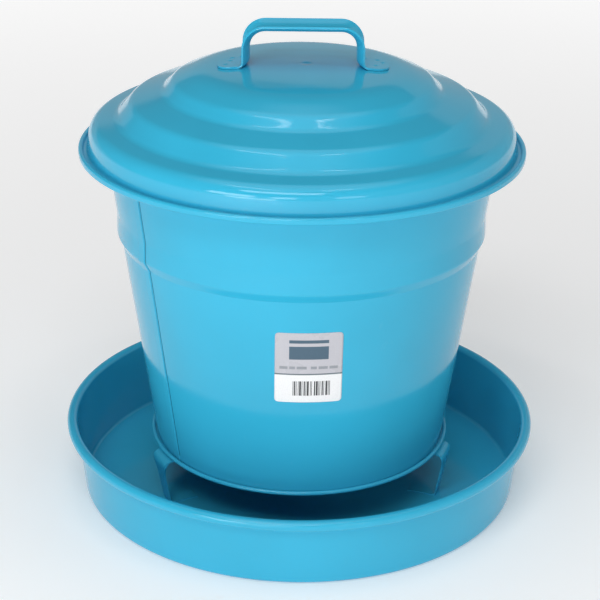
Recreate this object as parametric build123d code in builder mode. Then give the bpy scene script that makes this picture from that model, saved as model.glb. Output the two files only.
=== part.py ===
# Gravity poultry feeder: a round feed pan, a tapered feed hopper held above it on three
# strap legs, and a pressed, domed lift-off lid with a strap handle.
# Millimetres. +Z is up, the origin is the centre of the pan's resting face, and the front
# (the side with the label) faces -Y.  Azimuths are measured from the front, positive to +X.
from build123d import *
from math import sin, cos, tan, radians, hypot
import os

os.makedirs("parts", exist_ok=True)

# ---------------------------------------------------------------- driving dimensions
t = 0.8                      # sheet thickness of pan, hopper and lid

pan_r_base = 177.0           # outer radius of the pan wall, extended to the floor
pan_r_top = 183.1            # outer radius of the pan wall at the rim's centre height
pan_corner_r = 4.0           # outer corner radius between the pan's floor and wall
pan_rim_z = 55.3             # height of the rolled rim's centre
pan_rim_r = 4.0              # outer radius of the rolled rim's section
pan_rim_cx = 186.0           # radius to the rolled rim's centre

hop_z0 = 44.64               # reference height on the hopper wall
hop_r0 = 117.3               # hopper's outer radius at that height
hop_taper = 0.1404           # growth of radius per mm of height
hop_bottom_cx = 119.9        # bottom bead: radius to its centre
hop_bottom_cz = 44.6
hop_bottom_r = 1.6           # outer radius of the bottom bead's section
hop_wire_r = 0.74            # wire inside the bottom bead
hop_top_r = 4.0              # outer radius of the top bead's section
swage_top, swage_mid, swage_bot = 231.5, 219.5, 208.0
swage_h = 2.5                # how far the swage stands proud of the wall

seam_az = -54.9              # middle of the folded side seam
seam_w = 8.0                 # width of the seam's fold
seam_t = 0.8                 # how far the fold stands proud

leg_az = (-62.0, 71.0, 184.5)
leg_t = 1.2                  # strap thickness of the legs
leg_head_w = 24.0            # width of the strap where it meets the hopper
leg_neck_w = 13.0            # width of the strap at its neck and foot

lid_profile = [              # middle of the lid's sheet, centre to hem: (radius, height)
    (0.0, 349.2),            # crown
    (48.0, 348.0),
    (78.97, 345.7),
    (98.75, 337.67),         # first pressed ring, outer shoulder
    (106.78, 328.85),
    (130.78, 322.25),        # second ring
    (142.3, 309.24),
    (162.73, 305.56),        # third ring, which sits over the hopper's top bead
    (164.5, 283.3),          # foot of the skirt
    (168.8, 283.3),          # floor of the rain gutter
    (168.8, 289.0),          # upturned edge
    (171.6, 289.0),          # hem over the rim wire
    (171.6, 284.4),
]
lid_bends = [500.0, 60.0, 12.6, 10.4, 10.6, 10.4, 10.6, 1.9, 1.9, 1.25, 1.25]
lid_wire_cx, lid_wire_cz = 170.2, 287.6
lid_wire_r = 0.94            # wire inside the lid's rim
hop_top_cx, hop_top_cz = 156.5, 301.0   # top bead's centre, about 0.5 mm of play under the seated lid

handle_half_w = 46.6         # half the handle's outer width
handle_w = 29.8              # strap width across
handle_top = 380.9           # top of the strap's turned-up edges
handle_depth = 6.4           # depth of the strap's curved section
handle_t = 1.7
handle_corner_r = 18.0       # outer corner radius
foot_reach = 65.5            # tip of each foot from the axis
foot_t = 1.7
foot_corner_r = 10.0

label_w, label_h = 50.0, 60.0
label_az, label_z = 2.8, 157.0
label_t = 0.15
label_corner_r = 2.2


def theta(az):
    """Angle from +X, counter-clockwise, of an azimuth measured from the front."""
    return az - 90.0


def radial_plane(az):
    """Upright plane through the axis: local x is the radius, local y is the height."""
    a = radians(theta(az))
    return Plane(origin=(0, 0, 0), x_dir=(cos(a), sin(a), 0), z_dir=(sin(a), -cos(a), 0))


def facing_plane(az):
    """Upright plane through the axis, seen from outside: local x runs sideways, local y is up."""
    a = radians(theta(az))
    return Plane(origin=(0, 0, 0), x_dir=(-sin(a), cos(a), 0), z_dir=(cos(a), sin(a), 0))


def hop_r(z):
    """Outer radius of the hopper's plain wall at a height."""
    return hop_r0 + hop_taper * (z - hop_z0)


def strip(points, bends, thickness):
    """Closed outline of a bent sheet, from the middle line of its section."""
    mid = FilletPolyline(*points, radius=bends)
    offset(mid, amount=thickness / 2, side=Side.BOTH, mode=Mode.REPLACE)


# ---------------------------------------------------------------- feed pan
# One pressed sheet: flat floor, rounded corner, slightly flared wall and a rolled hollow rim.
rc = pan_rim_r - t / 2
with BuildPart() as pan:
    with BuildSketch(Plane.XZ):
        with BuildLine():
            strip(
                [
                    (0, t / 2),
                    (pan_r_base - t / 2, t / 2),
                    (pan_rim_cx - rc, pan_rim_z + rc),
                    (pan_rim_cx + rc, pan_rim_z + rc),
                    (pan_rim_cx + rc, pan_rim_z - rc),
                    (pan_rim_cx - rc + 1.3, pan_rim_z - rc),
                ],
                [pan_corner_r - t / 2, rc - 0.2, rc - 0.2, rc - 0.2],
                t,
            )
        make_face()
        split(bisect_by=Plane.YZ, keep=Keep.TOP)
    revolve(axis=Axis.Z)

# ---------------------------------------------------------------- hopper
# A rolled, tapered sheet with one folded side seam, a raised swage near the top,
# a wired bead at the bottom and a rolled hollow bead at the top.
rb = hop_bottom_r - t / 2
rt = hop_top_r - t / 2
wall_mid = [
    (hop_r(swage_bot) - t / 2, swage_bot),
    (hop_r(swage_mid) + swage_h - t / 2, swage_mid),
    (hop_r(swage_top) - t / 2, swage_top),
]
with BuildPart() as hopper:
    with BuildSketch(Plane.XZ):
        with BuildLine():
            strip(
                [
                    (hop_bottom_cx - rb, hop_bottom_cz - 0.2),
                    (hop_bottom_cx - rb, hop_bottom_cz + rb),
                    (hop_bottom_cx + rb, hop_bottom_cz + rb),
                    (hop_bottom_cx + rb, hop_bottom_cz - rb),
                    (hop_r(hop_bottom_cz - rb) - t / 2, hop_bottom_cz - rb),
                    *wall_mid,
                    (hop_top_cx - rt, hop_top_cz + rt),
                    (hop_top_cx + rt, hop_top_cz + rt),
                    (hop_top_cx + rt, hop_top_cz - rt),
                    (hop_top_cx - rt + 1.3, hop_top_cz - rt),
                ],
                [rb - 0.3, rb - 0.3, rb - 0.3, 0.9, 12, 7, 12, rt - 0.2, rt - 0.2, rt - 0.2],
                t,
            )
        make_face()
    revolve(axis=Axis.Z)
    # the fold of the side seam, proud of the wall and following the swage
    seam_angle = seam_w / hop_r(170)
    with BuildSketch(radial_plane(seam_az - seam_angle * 28.6479)):
        with BuildLine():
            lift = t / 2 + seam_t / 2 - 0.1
            strip(
                [
                    (hop_r(47.6) - t / 2 + lift, 47.6),
                    *[(r + lift, z) for r, z in wall_mid],
                    (hop_r(295) - t / 2 + lift, 295),
                ],
                [12, 7, 12],
                seam_t + 0.2,
            )
        make_face()
    revolve(axis=Axis.Z, revolution_arc=seam_angle * 57.2958)

with BuildPart() as hopper_bottom_wire:
    with BuildSketch(Plane.XZ):
        with Locations((hop_bottom_cx, hop_bottom_cz)):
            Circle(hop_wire_r)
    revolve(axis=Axis.Z)

# ---------------------------------------------------------------- legs
# Each leg is one bent strap: a wide head welded inside the hopper wall, a bend out under the
# bottom bead, curved shoulders down to a narrow neck, and a foot turned in on the pan's floor.
leg_side = [
    (hop_r(72) - t - leg_t / 2 - 0.02, 72.0),
    (hop_r(44) - t - leg_t / 2 - 0.3, 42.2),
    (127.2, 41.0),
    (119.6, t + leg_t / 2),
    (97.0, t + leg_t / 2),
]
leg_bends = [1.6, 5.0, 2.6]


def leg_shape(az):
    sector = 2 * leg_head_w / 119.0 * 28.6479 + 3
    with BuildPart() as leg:
        with BuildSketch(radial_plane(az - sector / 2)):
            with BuildLine():
                strip(leg_side, leg_bends, leg_t)
            make_face()
        revolve(axis=Axis.Z, revolution_arc=sector)
        with BuildSketch(facing_plane(az)):
            with BuildLine():
                w, n = leg_head_w / 2, leg_neck_w / 2
                right = FilletPolyline((0, 80), (w, 80), (w, 37.0), (n, 27.5), (n, -5), (0, -5), radius=[3, 5, 11, 0.5])
                mirror(right, about=Plane.YZ)
            make_face()
        extrude(amount=260, mode=Mode.INTERSECT)
    return leg


leg_left = leg_shape(leg_az[0])
leg_right = leg_shape(leg_az[1])
leg_rear = leg_shape(leg_az[2])

# ---------------------------------------------------------------- label
with BuildPart() as label:
    sector = label_w / hop_r(label_z) * 57.2958 + 2
    with BuildSketch(radial_plane(label_az - sector / 2)):
        with BuildLine():
            z_lo, z_hi = label_z - label_h / 2 - 1, label_z + label_h / 2 + 1
            Polyline(
                (hop_r(z_lo) + 0.02, z_lo),
                (hop_r(z_hi) + 0.02, z_hi),
                (hop_r(z_hi) + 0.02 + label_t, z_hi),
                (hop_r(z_lo) + 0.02 + label_t, z_lo),
                close=True,
            )
        make_face()
    revolve(axis=Axis.Z, revolution_arc=sector)
    with BuildSketch(facing_plane(label_az)):
        with Locations((0, label_z)):
            RectangleRounded(label_w, label_h, label_corner_r)
    extrude(amount=260, mode=Mode.INTERSECT)

# ---------------------------------------------------------------- lid
# One pressed sheet: low crown, three pressed rings, a skirt and an upturned, wired hem.
with BuildPart() as lid:
    with BuildSketch(Plane.XZ):
        with BuildLine():
            strip(lid_profile, lid_bends, t)
        make_face()
        split(bisect_by=Plane.YZ, keep=Keep.TOP)
    revolve(axis=Axis.Z)

with BuildPart() as lid_rim_wire:
    with BuildSketch(Plane.XZ):
        with Locations((lid_wire_cx, lid_wire_cz)):
            Circle(lid_wire_r)
    revolve(axis=Axis.Z)

# A strap pressed to a shallow arc, smooth side down to the hand, bent to a bridge, with two
# flat round-cornered feet welded to the crown.
grip_x = handle_half_w - handle_depth
grip_z = handle_top - handle_depth
foot_slope = 3.35
with BuildPart() as lid_handle:
    with BuildLine(Plane.XZ) as bridge:
        FilletPolyline(
            (-grip_x, 349.4), (-grip_x, grip_z), (grip_x, grip_z), (grip_x, 349.4),
            radius=handle_corner_r - handle_depth,
        )
    with BuildSketch(Plane(origin=(-grip_x, 0, 349.4), x_dir=(0, 1, 0), z_dir=(0, 0, 1))):
        with BuildLine():
            e = handle_w / 2 - handle_t / 2
            h = handle_depth - handle_t / 2
            mid = ThreePointArc((-e, h), (0, handle_t / 2), (e, h))
            offset(mid, amount=handle_t / 2, side=Side.BOTH, mode=Mode.REPLACE)
        make_face()
    sweep(path=bridge.line)
    a = radians(foot_slope)
    for side in (-1, 1):
        with BuildSketch(Plane(origin=(side * 39.0, 0, 348.85), x_dir=(side * cos(a), 0, -sin(a)), z_dir=(side * sin(a), 0, cos(a)))):
            reach = foot_reach - 39.0
            flat = reach - foot_corner_r
            with Locations((flat / 2, 0)):
                Rectangle(flat, handle_w)
            with Locations((flat + foot_corner_r / 2 - 0.5, 0)):
                Rectangle(foot_corner_r + 1.0, handle_w - 2 * foot_corner_r)
            with Locations((flat, handle_w / 2 - foot_corner_r), (flat, foot_corner_r - handle_w / 2)):
                Circle(foot_corner_r)
        extrude(amount=foot_t)

# ---------------------------------------------------------------- write the pieces
pieces = {
    "pan": pan,
    "hopper": hopper,
    "hopper_bottom_wire": hopper_bottom_wire,
    "leg_left": leg_left,
    "leg_right": leg_right,
    "leg_rear": leg_rear,
    "label": label,
    "lid": lid,
    "lid_rim_wire": lid_rim_wire,
    "lid_handle": lid_handle,
}
for name, piece in pieces.items():
    piece.part.label = name
    export_step(piece.part, "parts/" + name + ".step")
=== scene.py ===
import math

import bmesh
import bpy
import numpy as np
from mathutils import Matrix, Vector, noise


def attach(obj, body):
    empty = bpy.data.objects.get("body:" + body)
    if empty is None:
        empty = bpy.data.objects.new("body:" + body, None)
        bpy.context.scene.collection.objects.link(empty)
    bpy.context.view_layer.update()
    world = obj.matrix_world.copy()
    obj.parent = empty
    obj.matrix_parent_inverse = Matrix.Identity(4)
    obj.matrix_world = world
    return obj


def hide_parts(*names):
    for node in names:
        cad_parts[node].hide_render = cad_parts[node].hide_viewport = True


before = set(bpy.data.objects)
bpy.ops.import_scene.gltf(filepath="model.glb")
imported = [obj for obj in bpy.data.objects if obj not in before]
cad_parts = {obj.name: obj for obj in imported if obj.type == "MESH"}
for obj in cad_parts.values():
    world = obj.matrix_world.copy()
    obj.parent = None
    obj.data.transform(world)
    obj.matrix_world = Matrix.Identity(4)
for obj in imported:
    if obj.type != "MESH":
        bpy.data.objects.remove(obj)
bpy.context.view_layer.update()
MM = 0.001
T = 0.8  # sheet thickness, mm
scene = bpy.context.scene
scene.view_settings.view_transform = "Standard"


def smooth(x):
    x = min(1.0, max(0.0, x))
    return x * x * (3 - 2 * x)


# ================================================================ camera
cam_data = bpy.data.cameras.new("view_camera")
cam_data.sensor_width = 36.0
cam_data.lens = 102.31
cam_data.clip_start, cam_data.clip_end = 0.05, 60.0
cam = bpy.data.objects.new("view_camera", cam_data)
scene.collection.objects.link(cam)
PITCH, ROLL, YAW = 0.408577, 0.010962, -0.000355
ahead = Vector((math.sin(YAW) * math.cos(PITCH), math.cos(YAW) * math.cos(PITCH), -math.sin(PITCH)))
flat_right = Vector((math.cos(YAW), -math.sin(YAW), 0.0))
flat_up = flat_right.cross(ahead)
cam_right = math.cos(ROLL) * flat_right + math.sin(ROLL) * flat_up
cam_up = -math.sin(ROLL) * flat_right + math.cos(ROLL) * flat_up
cam.matrix_world = Matrix.Translation((0.0, -1.25736, 0.69811)) @ Matrix((cam_right, cam_up, -ahead)).transposed().to_4x4()
scene.camera = cam


# ================================================================ sheet-metal sections
def fillet_path(points, radii, step=7.0, longest=5.0):
    """A bent middle line: corners rounded by true arcs, long runs divided."""
    pts = [np.array(p, float) for p in points]
    out = [pts[0]]
    for i in range(1, len(pts) - 1):
        p0, p1, p2 = pts[i - 1], pts[i], pts[i + 1]
        a, b = p0 - p1, p2 - p1
        a, b = a / np.hypot(*a), b / np.hypot(*b)
        half = math.acos(float(np.clip(a @ b, -1, 1))) / 2
        r = radii[i - 1]
        cut = r / math.tan(half)
        mid = (a + b) / np.hypot(*(a + b))
        c = p1 + mid * r / math.sin(half)
        s, e = p1 + a * cut, p1 + b * cut
        a0 = math.atan2(s[1] - c[1], s[0] - c[0])
        a1 = math.atan2(e[1] - c[1], e[0] - c[0])
        d = (a1 - a0 + math.pi) % (2 * math.pi) - math.pi
        n = max(3, int(math.ceil(abs(math.degrees(d)) / step)))
        for k in range(n + 1):
            w = a0 + d * k / n
            out.append(c + r * np.array([math.cos(w), math.sin(w)]))
    out.append(pts[-1])
    full = [out[0]]
    for q in out[1:]:
        p = full[-1]
        d = np.hypot(*(q - p))
        if d < 1e-4:
            continue
        n = max(1, int(math.ceil(d / longest)))
        full += [p + (q - p) * k / n for k in range(1, n + 1)]
    return np.array(full)


def refine_centre(path, reach, spacing):
    """More points near the axis, for small pressed marks."""
    keep = path[path[:, 0] > reach]
    rs = np.arange(0.0, reach, spacing)
    inner = path[path[:, 0] <= reach + 12]
    zs = np.interp(rs, inner[:, 0], inner[:, 1])
    return np.vstack([np.stack([rs, zs], 1), keep])


def sheet_loop(path, t):
    """Outline of a sheet from its middle line, with half-round edges. Also says which face each point is on:
    +1 on the left of the direction of travel, -1 on the right, 0 on an edge."""
    seg = np.diff(path, axis=0)
    seg = seg / np.hypot(seg[:, 0], seg[:, 1])[:, None]
    tan = np.vstack([seg[:1], seg[:-1] + seg[1:], seg[-1:]])
    tan = tan / np.hypot(tan[:, 0], tan[:, 1])[:, None]
    nor = np.stack([-tan[:, 1], tan[:, 0]], 1)
    left, rite = path + nor * t / 2, path - nor * t / 2
    pts, side = list(left), [1] * len(left)
    for k in range(1, 5):
        w = math.pi * k / 5
        pts.append(path[-1] + t / 2 * (math.cos(w) * nor[-1] + math.sin(w) * tan[-1]))
        side.append(0)
    pts += list(rite[::-1])
    side += [-1] * len(rite)
    axis = path[0][0] < 1e-6
    if axis:
        pts[0] = np.array([0.0, pts[0][1]])
        pts[-1] = np.array([0.0, pts[-1][1]])
    else:
        for k in range(1, 5):
            w = math.pi * k / 5
            pts.append(path[0] + t / 2 * (-math.cos(w) * nor[0] - math.sin(w) * tan[0]))
            side.append(0)
    return pts, side, axis


def add_mesh(bm, name):
    bmesh.ops.recalc_face_normals(bm, faces=bm.faces)
    me = bpy.data.meshes.new(name)
    bm.to_mesh(me)
    bm.free()
    me.polygons.foreach_set("use_smooth", [True] * len(me.polygons))
    me.update()
    ob = bpy.data.objects.new(name, me)
    scene.collection.objects.link(ob)
    return ob


def spin(name, path, t, angles, shape):
    """Revolves a sheet's section about the axis; shape(r, z, angle, side) gives small extra radius and height."""
    pts, side, axis = sheet_loop(path, t)
    cs = [(math.cos(a), math.sin(a)) for a in angles]
    bm = bmesh.new()
    rings = []
    for (r, z), s in zip(pts, side):
        if r < 1e-6:
            _, dz = shape(0.0, z, 0.0, s)
            rings.append([bm.verts.new((0, 0, (z + dz) * MM))])
            continue
        ring = []
        for a, (c, q) in zip(angles, cs):
            dr, dz = shape(r, z, a, s)
            ring.append(bm.verts.new(((r + dr) * c * MM, (r + dr) * q * MM, (z + dz) * MM)))
        rings.append(ring)
    pairs = list(zip(rings, rings[1:])) + ([] if axis else [(rings[-1], rings[0])])
    m = len(angles)
    for p, q in pairs:
        for i in range(m):
            j = (i + 1) % m
            if len(p) == 1:
                bm.faces.new((p[0], q[i], q[j]))
            elif len(q) == 1:
                bm.faces.new((p[i], q[0], p[j]))
            else:
                bm.faces.new((p[i], q[i], q[j], p[j]))
    return add_mesh(bm, name)


def ripple(r, z, a, size, seed):
    """Smooth unevenness of pressed or rolled sheet, about -1 to 1, with a wavelength in mm."""
    return noise.noise(Vector((r * math.cos(a) / size, r * math.sin(a) / size, z / size + seed)))


def ring_angles(n):
    return [2 * math.pi * k / n for k in range(n)]


# ================================================================ feed pan
pan_path = fillet_path(
    [(0, 0.4), (176.6, 0.4), (182.4, 58.9), (189.6, 58.9), (189.6, 51.7), (184.4, 51.7)],
    [3.6, 3.55, 3.55, 3.4],
    longest=6.0,
)


def pan_shape(r, z, a, s):
    if z < 2.0 and r < 170:
        return 0.0, (0.22 + 0.3 * ripple(r, 0.0, a, 75.0, 3.1)) * smooth((170 - r) / 25.0)
    k = 0.16 * smooth((z - 2.0) / 14.0) * smooth((64.0 - z) / 12.0)
    return k * ripple(r, z * 0.6, a, 60.0, 9.7), 0.0


pan = spin("pan_body", pan_path, T, ring_angles(320), pan_shape)

# ================================================================ hopper
H0, R0, TAPER = 44.64, 117.3, 0.1404


def hop_r(z):
    return R0 + TAPER * (z - H0)


hop_path = fillet_path(
    [
        (118.75, 44.2), (118.7, 45.8), (121.1, 45.8), (121.1, 43.4), (hop_r(43.4) - 0.4, 43.4),
        (hop_r(212.2) - 0.5, 212.2), (hop_r(219.6) + 2.3, 219.6), (hop_r(235.5) - 0.4, 235.5),
        (152.9, 304.6), (160.1, 304.6), (160.1, 297.4), (154.8, 297.4),
    ],
    [1.1, 1.15, 1.15, 0.9, 3.2, 4.2, 24.0, 3.5, 3.5, 3.4],
    step=5.0,
    longest=5.0,
)
SEAM_LO, SEAM_HI = math.radians(-56.65 - 90.0), math.radians(-53.15 - 90.0)


def seam_angles():
    keep = [a for a in (-math.pi + 2 * math.pi * k / 288 for k in range(288)) if not SEAM_LO - 0.02 < a < SEAM_HI + 0.02]
    for edge in (SEAM_LO, SEAM_HI):
        for off in (1.6, 1.2, 0.9, 0.7, 0.5, 0.35, 0.22, 0.12, 0.04):
            keep += [edge + off / 133.0, edge - off / 133.0]
    keep += [SEAM_LO + (SEAM_HI - SEAM_LO) * k / 8 for k in range(2, 7)]
    return sorted(set(round(v, 7) for v in keep))


def hop_shape(r, z, a, s):
    d = 0.14 * ripple(r, z, a, 60.0, 21.3) + 0.09 * ripple(r, z * 0.3, a, 30.0, 5.2)
    d *= smooth((z - 48.0) / 18.0) * smooth((290.0 - z) / 18.0)
    if s < 0 and 46.5 < z < 300:
        x_lo, x_hi = (a - SEAM_LO) * r, (a - SEAM_HI) * r
        if -12.0 < x_lo and x_hi < 12.0:
            ends = smooth((z - 46.9) / 0.9) * smooth((297.0 - z) / 2.0)
            lift = 0.85 * smooth((x_lo + 0.7) / 1.6) * (1.0 - smooth((x_hi + 0.1) / 0.25))
            groove = 0.60 * math.exp(-(((x_hi - 0.50) / 0.42) ** 2))
            d += (lift - groove) * ends
    return d, 0.0


hopper = spin("hopper_body", hop_path, T, seam_angles(), hop_shape)
# faces down in the fold of the seam, outside only, get the darker second coat: painted shade in the fold
for f in hopper.data.polygons:
    c = f.center
    r = math.hypot(c.x, c.y)
    x = (math.remainder(math.atan2(c.y, c.x) - SEAM_HI, 2 * math.pi)) * r / MM
    if 0.10 < x < 0.95 and 0.0475 < c.z < 0.2955 and (f.normal.x * c.x + f.normal.y * c.y) / r > 0.1:
        f.material_index = 1

# ================================================================ lid
lid_path = fillet_path(
    [
        (0.0, 349.2), (48.0, 348.0), (78.97, 345.7), (98.75, 337.67), (106.78, 328.85), (130.78, 322.25),
        (142.3, 309.24), (162.73, 305.56), (164.4, 284.9), (168.7, 284.5), (168.75, 287.7), (171.6, 287.7), (171.6, 283.4), (169.6, 283.1),
    ],
    [500.0, 60.0, 12.6, 10.4, 10.6, 10.4, 10.6, 2.6, 1.4, 1.35, 1.35, 1.2],
    step=4.0,
    longest=3.5,
)
lid_path = refine_centre(lid_path, 12.0, 0.8)


def lid_shape(r, z, a, s):
    d = 0.10 * ripple(r, 0.0, a, 110.0, 40.7) * smooth((166.0 - r) / 40.0)
    x, y = r * math.cos(a), r * math.sin(a)
    d -= 0.55 * math.exp(-(((x - 2.2) ** 2 / 13.0 + (y + 0.5) ** 2 / 13.0) ** 1.5))
    return 0.0, d


lid = spin("lid_body", lid_path, T, ring_angles(300), lid_shape)

# the wire inside the lid's hem, drawn as one round ring
bm = bmesh.new()
rings = []
for k in range(20):
    w = 2 * math.pi * k / 20
    r, z = 170.2 + 0.94 * math.cos(w), 286.25 + 0.94 * math.sin(w)
    rings.append([bm.verts.new((r * math.cos(a) * MM, r * math.sin(a) * MM, z * MM)) for a in ring_angles(240)])
for p, q in zip(rings, rings[1:] + rings[:1]):
    for i in range(240):
        bm.faces.new((p[i], p[(i + 1) % 240], q[(i + 1) % 240], q[i]))
rim_wire = add_mesh(bm, "rim_wire")

# ================================================================ lid handle
# A strap pressed to a shallow arc, its smooth side to the hand, flattening into two round-cornered feet.
SLOPE = math.tan(math.radians(3.35))


def foot_z(x):
    return 349.72 - (x - 39.0) * SLOPE


def rail(x_out, z_top, r_corner, r_foot):
    """Right half of one long line of the strap, as matched stations: top span, corner, leg, foot bend."""
    out = []
    for k in range(13):
        out.append((k / 12 * (x_out - r_corner), z_top))
    for k in range(1, 17):
        w = math.pi / 2 * (1 - k / 16)
        out.append((x_out - r_corner + r_corner * math.cos(w), z_top - r_corner + r_corner * math.sin(w)))
    z_bend = foot_z(x_out + r_foot) + r_foot
    for k in range(1, 9):
        z0 = z_top - r_corner
        out.append((x_out, z0 + (z_bend - z0) * k / 8))
    for k in range(1, 13):
        w = math.pi + (math.pi / 2) * k / 12
        out.append((x_out + r_foot + r_foot * math.cos(w), z_bend + r_foot * math.sin(w)))
    return np.array(out)


core_rail = rail(41.05, 375.35, 12.45, 5.0)
edge_rail = rail(45.75, 380.05, 17.15, 4.2)
NV = 30
v_par = np.linspace(0, 1, NV)
SAG, HALF = 4.7, 14.05
ARC_R = (HALF ** 2 + SAG ** 2) / (2 * SAG)
ARC_W = math.asin(HALF / ARC_R)
sec_y = ARC_R * np.sin(v_par * ARC_W)
sec_g = ARC_R * (1 - np.cos(v_par * ARC_W)) / SAG
half_rows = []
for c, e in zip(core_rail, edge_rail):
    half_rows.append([(c[0] + (e[0] - c[0]) * g, y, c[1] + (e[1] - c[1]) * g) for y, g in zip(sec_y, sec_g)])
start = half_rows[-1]
FOOT_TIP, FOOT_HALF, FOOT_R = 65.0, 14.35, 9.6


def foot_end(v):
    """Point on the foot's end outline: straight across the tip, round at the corner."""
    across, corner = FOOT_HALF - FOOT_R, FOOT_R * math.pi / 2
    d = v * (across + corner)
    if d <= across:
        return FOOT_TIP, d
    w = (d - across) / FOOT_R
    return FOOT_TIP - FOOT_R + FOOT_R * math.cos(w), across + FOOT_R * math.sin(w)


for k in range(1, 41):
    u = k / 40
    row = []
    for (x0, y0, z0), v in zip(start, v_par):
        x1, y1 = foot_end(v)
        x, y = x0 + (x1 - x0) * u, y0 + (y1 - y0) * u
        row.append((x, y, foot_z(x)))
    half_rows.append(row)
WELDS = [(-55.4, 3.0), (-54.0, 10.6), (-58.6, -6.8), (56.4, 9.4), (60.2, 2.6), (54.6, -6.4)]


def handle_point(x, y, z):
    if z < 351.8:
        for wx, wy in WELDS:
            z -= 0.34 * math.exp(-((((x - wx) ** 2 + (y - wy) ** 2) / 3.2) ** 1.6))
    return (x * MM, y * MM, z * MM)


bm = bmesh.new()
rows = [[(-x, y, z) for x, y, z in r] for r in half_rows[:0:-1]] + half_rows
grid = []
for r in rows:
    full = [(x, -y, z) for x, y, z in r[:0:-1]] + list(r)
    grid.append([bm.verts.new(handle_point(*p)) for p in full])
for p, q in zip(grid, grid[1:]):
    for i in range(len(p) - 1):
        bm.faces.new((p[i], p[i + 1], q[i + 1], q[i]))
handle = add_mesh(bm, "handle_body")
solid = handle.modifiers.new("thickness", "SOLIDIFY")
solid.thickness = 1.65 * MM
solid.offset = 0.0
solid.use_even_offset = True
edge = handle.modifiers.new("edge", "BEVEL")
edge.width = 0.5 * MM
edge.segments = 3
edge.limit_method = "ANGLE"
edge.angle_limit = math.radians(50)
edge.use_clamp_overlap = True
bpy.context.view_layer.update()
solid_mesh = bpy.data.meshes.new_from_object(handle.evaluated_get(bpy.context.evaluated_depsgraph_get()))
handle.modifiers.clear()
handle.data = solid_mesh
handle.data.name = "handle_body"

# ================================================================ label
LAB_AZ, LAB_Z, LW, LH, LR = math.radians(2.8 - 90.0), 157.0, 50.0, 60.0, 3.0
bars_x, x = [], 0.27
for w, gap in zip([1, 2, 1, 1, 3, 1, 2, 1, 3, 1, 1, 2, 3, 1, 1, 2, 1, 3, 1, 1], [1, 1, 2, 1, 1, 2, 1, 1, 2, 1, 3, 1, 1, 1, 2, 1, 2, 1, 1, 1]):
    bars_x.append((x, x + w * 0.0092))
    x += (w + gap) * 0.0092
scale = 0.55 / (bars_x[-1][1] - 0.27)
bars_x = [(0.27 + (a - 0.27) * scale, 0.27 + (b - 0.27) * scale) for a, b in bars_x]
# printed areas: (left, right, top, bottom, material), as shares of the label's width and height
PRINT = [(0.0, 1.0, 0.0, 0.58, 1), (0.0, 1.0, 0.58, 0.60, 2), (0.21, 0.79, 0.10, 0.145, 3), (0.21, 0.79, 0.19, 0.375, 3)]
PRINT += [(a, b, 0.475, 0.515, 4) for a, b in ((0.07, 0.19), (0.215, 0.30), (0.325, 0.47), (0.53, 0.62), (0.645, 0.78), (0.805, 0.93))]
PRINT += [(a, b, 0.69, 0.90, 5) for a, b in bars_x]
us = sorted(set([0.0, 1.0] + [u for p in PRINT for u in p[:2]] + [k / 40 for k in range(41)]))
vs = sorted(set([v for p in PRINT for v in p[2:4]] + [k / 40 for k in range(41)] + [1 - math.cos(k / 8 * math.pi / 2) for k in range(0)]
            + [LR / LH * k / 8 for k in range(9)] + [1 - LR / LH * k / 8 for k in range(9)]))


def clean(values):
    out = [values[0]]
    for w in values[1:]:
        if w - out[-1] > 0.0015:
            out.append(w)
    out[-1] = values[-1]
    return out


def keep_print(values, prints):
    must = sorted(set(round(p, 6) for p in prints))
    rest = [w for w in values if min(abs(w - m) for m in must) > 0.004]
    return sorted(must + rest)


us = keep_print(us, [u for p in PRINT for u in p[:2]])
vs = keep_print(vs, [v for p in PRINT for v in p[2:4]] + [0.0, 1.0])
bm = bmesh.new()


def label_point(u, v, lift):
    d = min(v, 1 - v) * LH
    half = LW / 2 - (0.0 if d >= LR else LR - math.sqrt(max(0.0, LR * LR - (LR - d) ** 2)))
    x = (u - 0.5) * LW
    x = max(-half, min(half, x))
    z = LAB_Z + LH / 2 - v * LH
    r = hop_r(z) + 0.14 * ripple(hop_r(z), z, LAB_AZ, 60.0, 21.3) + lift
    a = LAB_AZ + x / hop_r(z)
    dr, _ = hop_shape(hop_r(z), z, a, 1)
    r = hop_r(z) + dr + lift
    return (r * math.cos(a) * MM, r * math.sin(a) * MM, z * MM)


front = [[bm.verts.new(label_point(u, v, 0.17)) for u in us] for v in vs]
back = [[bm.verts.new(label_point(u, v, 0.03)) for u in us] for v in vs]
for i in range(len(vs) - 1):
    for j in range(len(us) - 1):
        cu, cv = (us[j] + us[j + 1]) / 2, (vs[i] + vs[i + 1]) / 2
        m = 0
        for a, b, top, bottom, k in PRINT:
            if a < cu < b and top < cv < bottom:
                m = k
        f = bm.faces.new((front[i][j], front[i][j + 1], front[i + 1][j + 1], front[i + 1][j]))
        f.material_index = m
        bm.faces.new((back[i][j], back[i + 1][j], back[i + 1][j + 1], back[i][j + 1]))
n_u, n_v = len(us), len(vs)
rim = [(0, j) for j in range(n_u)] + [(i, n_u - 1) for i in range(1, n_v)] + [(n_v - 1, j) for j in range(n_u - 2, -1, -1)] + [(i, 0) for i in range(n_v - 2, 0, -1)]
for (a, b), (c, d) in zip(rim, rim[1:] + rim[:1]):
    bm.faces.new((front[a][b], back[a][b], back[c][d], front[c][d]))
bmesh.ops.remove_doubles(bm, verts=bm.verts, dist=1e-7)
label = add_mesh(bm, "label_film")


# ================================================================ materials
def new_material(name):
    m = bpy.data.materials.new(name)
    m.use_nodes = True
    nt = m.node_tree
    nt.nodes.clear()
    out = nt.nodes.new("ShaderNodeOutputMaterial")
    bsdf = nt.nodes.new("ShaderNodeBsdfPrincipled")
    nt.links.new(bsdf.outputs["BSDF"], out.inputs["Surface"])
    co = nt.nodes.new("ShaderNodeTexCoord")
    return m, nt, bsdf, co.outputs["Object"]


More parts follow.
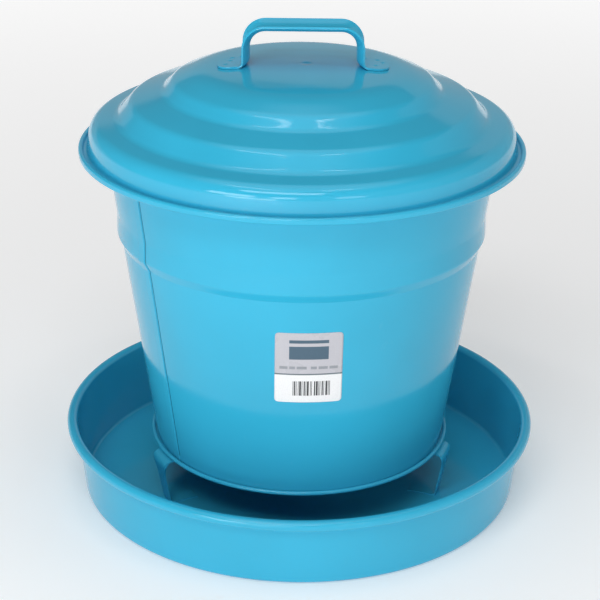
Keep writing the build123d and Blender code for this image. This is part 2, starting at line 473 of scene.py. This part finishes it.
def noise_node(nt, co, scale, detail=2.0, rough=0.5, stretch=None):
    if stretch:
        mp = nt.nodes.new("ShaderNodeMapping")
        mp.inputs["Scale"].default_value = stretch
        nt.links.new(co, mp.inputs["Vector"])
        co = mp.outputs["Vector"]
    n = nt.nodes.new("ShaderNodeTexNoise")
    n.inputs["Scale"].default_value = scale
    n.inputs["Detail"].default_value = detail
    n.inputs["Roughness"].default_value = rough
    nt.links.new(co, n.inputs["Vector"])
    return n.outputs["Fac"]


def ramp(nt, fac, stops):
    r = nt.nodes.new("ShaderNodeValToRGB")
    els = r.color_ramp.elements
    while len(els) < len(stops):
        els.new(0.5)
    for el, (pos, col) in zip(els, stops):
        el.position = pos
        el.color = (*col, 1.0) if len(col) == 3 else col
    nt.links.new(fac, r.inputs["Fac"])
    return r.outputs["Color"]


def remap(nt, fac, a, b, lo, hi):
    m = nt.nodes.new("ShaderNodeMapRange")
    m.inputs["From Min"].default_value, m.inputs["From Max"].default_value = a, b
    m.inputs["To Min"].default_value, m.inputs["To Max"].default_value = lo, hi
    nt.links.new(fac, m.inputs["Value"])
    return m.outputs["Result"]


def mix_color(nt, fac, a, b, blend="MIX"):
    m = nt.nodes.new("ShaderNodeMix")
    m.data_type = "RGBA"
    m.blend_type = blend
    for sock, val in ((m.inputs[0], fac), (m.inputs[6], a), (m.inputs[7], b)):
        if isinstance(val, bpy.types.NodeSocket):
            nt.links.new(val, sock)
        elif isinstance(val, (int, float)):
            sock.default_value = val
        else:
            sock.default_value = (*val, 1.0)
    return m.outputs[2]


def bump(nt, height, strength, distance, normal=None):
    b = nt.nodes.new("ShaderNodeBump")
    b.inputs["Strength"].default_value = strength
    b.inputs["Distance"].default_value = distance
    nt.links.new(height, b.inputs["Height"])
    if normal is not None:
        nt.links.new(normal, b.inputs["Normal"])
    return b.outputs["Normal"]


BLUE = (0.037, 0.440, 0.665)


def powder_coat(name, tint=1.0, rough=0.095):
    """Glossy powder coat: fine orange peel, slow drift of thickness, dust in the pits, faint rubs and smears."""
    m, nt, bsdf, co = new_material(name)
    base = tuple(c * tint for c in BLUE)
    drift = noise_node(nt, co, 9.0, 3.0, 0.55)
    tone = ramp(nt, drift, [(0.30, tuple(c * 0.955 for c in base)), (0.70, tuple(min(1.0, c * 1.04) for c in base))])
    speck = noise_node(nt, co, 700.0, 2.0, 0.6)
    tone = mix_color(nt, remap(nt, speck, 0.62, 0.80, 0.0, 0.22), tone, tuple(c * 0.80 for c in base))
    rub = noise_node(nt, co, 55.0, 6.0, 0.72, stretch=(1.0, 1.0, 0.35))
    tone = mix_color(nt, remap(nt, rub, 0.66, 0.82, 0.0, 0.10), tone, (0.30, 0.62, 0.74))
    nt.links.new(tone, bsdf.inputs["Base Color"])
    smear = noise_node(nt, co, 16.0, 4.0, 0.6, stretch=(1.0, 1.0, 0.5))
    nt.links.new(remap(nt, smear, 0.25, 0.75, rough - 0.02, rough + 0.045), bsdf.inputs["Roughness"])
    peel = noise_node(nt, co, 420.0, 2.0, 0.5)
    fine = noise_node(nt, co, 1500.0, 1.0, 0.5)
    n1 = bump(nt, peel, 0.06, 0.00016)
    nt.links.new(bump(nt, fine, 0.035, 0.00005, n1), bsdf.inputs["Normal"])
    bsdf.inputs["IOR"].default_value = 1.5
    bsdf.inputs["Specular IOR Level"].default_value = 0.40
    return m


def print_film(name, color, rough=0.32, grain=0.05, coat=0.25):
    """Printed, laminated label film with a fine print grain."""
    m, nt, bsdf, co = new_material(name)
    g = noise_node(nt, co, 1800.0, 2.0, 0.6)
    lo, hi = tuple(c * (1 - grain) for c in color), tuple(min(1.0, c * (1 + grain)) for c in color)
    tone = ramp(nt, g, [(0.35, lo), (0.65, hi)])
    soft = noise_node(nt, co, 40.0, 3.0, 0.5)
    tone = mix_color(nt, remap(nt, soft, 0.4, 0.8, 0.0, 0.05), tone, tuple(c * 0.9 for c in color))
    nt.links.new(tone, bsdf.inputs["Base Color"])
    nt.links.new(remap(nt, soft, 0.3, 0.7, rough - 0.05, rough + 0.06), bsdf.inputs["Roughness"])
    nt.links.new(bump(nt, g, 0.06, 0.00005), bsdf.inputs["Normal"])
    bsdf.inputs["Coat Weight"].default_value = coat
    bsdf.inputs["Coat Roughness"].default_value = 0.15
    return m


def steel_wire():
    """Drawn galvanised wire with spangled zinc."""
    m, nt, bsdf, co = new_material("steel_wire")
    sp = noise_node(nt, co, 260.0, 3.0, 0.6)
    nt.links.new(ramp(nt, sp, [(0.3, (0.40, 0.41, 0.42)), (0.7, (0.60, 0.61, 0.62))]), bsdf.inputs["Base Color"])
    nt.links.new(remap(nt, sp, 0.3, 0.7, 0.28, 0.45), bsdf.inputs["Roughness"])
    nt.links.new(bump(nt, noise_node(nt, co, 900.0, 2.0, 0.5), 0.15, 0.0001), bsdf.inputs["Normal"])
    bsdf.inputs["Metallic"].default_value = 1.0
    return m


coat_pan = powder_coat("coat_pan")
coat_hopper = powder_coat("coat_hopper")
coat_leg = powder_coat("coat_leg")
coat_lid = powder_coat("coat_lid")
coat_handle = powder_coat("coat_handle")
wire_mat = steel_wire()


def paint(ob, *mats):
    for m in mats:
        ob.data.materials.append(m)


paint(pan, coat_pan)
# the second coat, at 0.30 of the blue, darkens the seam's fold: painted shade
paint(hopper, coat_hopper, powder_coat("coat_fold_painted_shade", tint=0.30, rough=0.22))
paint(lid, coat_lid)
paint(handle, coat_handle)
paint(rim_wire, wire_mat)
paint(
    label,
    print_film("film_white", (0.88, 0.885, 0.89)),
    print_film("film_silver", (0.53, 0.525, 0.565), rough=0.28),
    print_film("film_rule", (0.14, 0.18, 0.20)),
    print_film("film_steel_blue", (0.062, 0.120, 0.175)),
    print_film("film_grey_line", (0.30, 0.32, 0.35)),
    print_film("film_ink", (0.040, 0.042, 0.046)),
)
for name in ("leg_left", "leg_right", "leg_rear"):
    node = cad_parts[name]
    for s in node.material_slots:
        s.material = coat_leg
for name in ("hopper_bottom_wire",):
    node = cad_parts[name]
    for s in node.material_slots:
        s.material = wire_mat

# ================================================================ pieces on their bodies
for ob, body, node, slot in (
    (pan, "feeder", "pan", "pan_coat"),
    (hopper, "feeder", "hopper", "hopper_coat"),
    (label, "feeder", "label", "label_film"),
    (lid, "lid", "lid", "lid_coat"),
    (handle, "lid", "lid_handle", "handle_coat"),
    (rim_wire, "lid", "lid_rim_wire", "steel_wire"),
):
    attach(ob, body)
    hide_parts(node)

# ================================================================ floor, light, surroundings
bm = bmesh.new()
bmesh.ops.create_circle(bm, cap_ends=True, radius=14.0, segments=96)
floor = add_mesh(bm, "studio_floor")
m, nt, bsdf, co = new_material("studio_floor")
nt.links.new(ramp(nt, noise_node(nt, co, 1.3, 2.0, 0.5), [(0.3, (0.885, 0.885, 0.885)), (0.7, (0.90, 0.90, 0.90))]), bsdf.inputs["Base Color"])
bsdf.inputs["Roughness"].default_value = 0.9
bsdf.inputs["Specular IOR Level"].default_value = 0.1
dist = nt.nodes.new("ShaderNodeVectorMath")
dist.operation = "LENGTH"
nt.links.new(co, dist.inputs[0])
glow = remap(nt, dist.outputs["Value"], 0.2, 2.2, 0.20, 0.60)
bsdf.inputs["Emission Color"].default_value = (1.0, 1.0, 1.0, 1.0)
nt.links.new(glow, bsdf.inputs["Emission Strength"])
paint(floor, m)
floor.location.z = -0.0002


def softbox(name, azimuth, elevation, distance, width, height, power, target=(0, 0, 0.22)):
    """Azimuth 0 is the camera's side, positive to +X."""
    data = bpy.data.lights.new(name, "AREA")
    data.shape = "RECTANGLE"
    data.size, data.size_y = width, height
    data.energy = power
    ob = bpy.data.objects.new(name, data)
    scene.collection.objects.link(ob)
    a, e = math.radians(azimuth), math.radians(elevation)
    d = Vector((math.sin(a) * math.cos(e), -math.cos(a) * math.cos(e), math.sin(e)))
    ob.location = Vector(target) + d * distance
    ob.rotation_mode = "QUATERNION"
    ob.rotation_quaternion = d.to_track_quat("Z", "Y")
    ob.visible_camera = False
    return ob


softbox("soft_left", -35, 13.5, 2.4, 0.98, 0.46, 10.4)
softbox("soft_middle", -9, 13.5, 2.4, 0.50, 0.46, 3.8)
softbox("soft_right", 24, 13.5, 2.4, 0.58, 0.46, 2.7)
softbox("soft_upper", -12, 46, 2.4, 1.50, 0.50, 13.4)
softbox("high_left", -44, 67, 2.3, 0.95, 0.12, 2.0)
softbox("high_right", 34, 67, 2.3, 0.45, 0.12, 1.1)
softbox("strip_left", -25, -2, 2.2, 1.00, 0.22, 6.0, target=(0, 0, 0.29))

world = bpy.data.worlds.new("studio")
scene.world = world
world.use_nodes = True
wn = world.node_tree
wn.nodes.clear()
w_out = wn.nodes.new("ShaderNodeOutputWorld")
w_bg = wn.nodes.new("ShaderNodeBackground")
wn.links.new(w_bg.outputs["Background"], w_out.inputs["Surface"])
w_co = wn.nodes.new("ShaderNodeTexCoord")
w_dot = wn.nodes.new("ShaderNodeVectorMath")
w_dot.operation = "DOT_PRODUCT"
w_dot.inputs[1].default_value = (-0.34, 0.0, 1.0)
wn.links.new(w_co.outputs["Generated"], w_dot.inputs[0])
w_map = wn.nodes.new("ShaderNodeMapRange")
w_map.interpolation_type = "SMOOTHSTEP"
w_map.inputs["From Min"].default_value, w_map.inputs["From Max"].default_value = 0.38, 0.41
w_map.inputs["To Min"].default_value, w_map.inputs["To Max"].default_value = 0.44, 0.12
wn.links.new(w_dot.outputs["Value"], w_map.inputs["Value"])
w_sep = wn.nodes.new("ShaderNodeSeparateXYZ")
wn.links.new(w_co.outputs["Generated"], w_sep.inputs[0])
w_top = wn.nodes.new("ShaderNodeMapRange")
w_top.interpolation_type = "SMOOTHSTEP"
w_top.inputs["From Min"].default_value, w_top.inputs["From Max"].default_value = 0.80, 0.95
w_top.inputs["To Min"].default_value, w_top.inputs["To Max"].default_value = 0.0, 0.98
wn.links.new(w_sep.outputs["Z"], w_top.inputs["Value"])
w_sum = wn.nodes.new("ShaderNodeMath")
w_sum.operation = "ADD"
wn.links.new(w_map.outputs["Result"], w_sum.inputs[0])
wn.links.new(w_top.outputs["Result"], w_sum.inputs[1])
wn.links.new(w_sum.outputs["Value"], w_bg.inputs["Color"])
w_bg.inputs["Strength"].default_value = 1.0
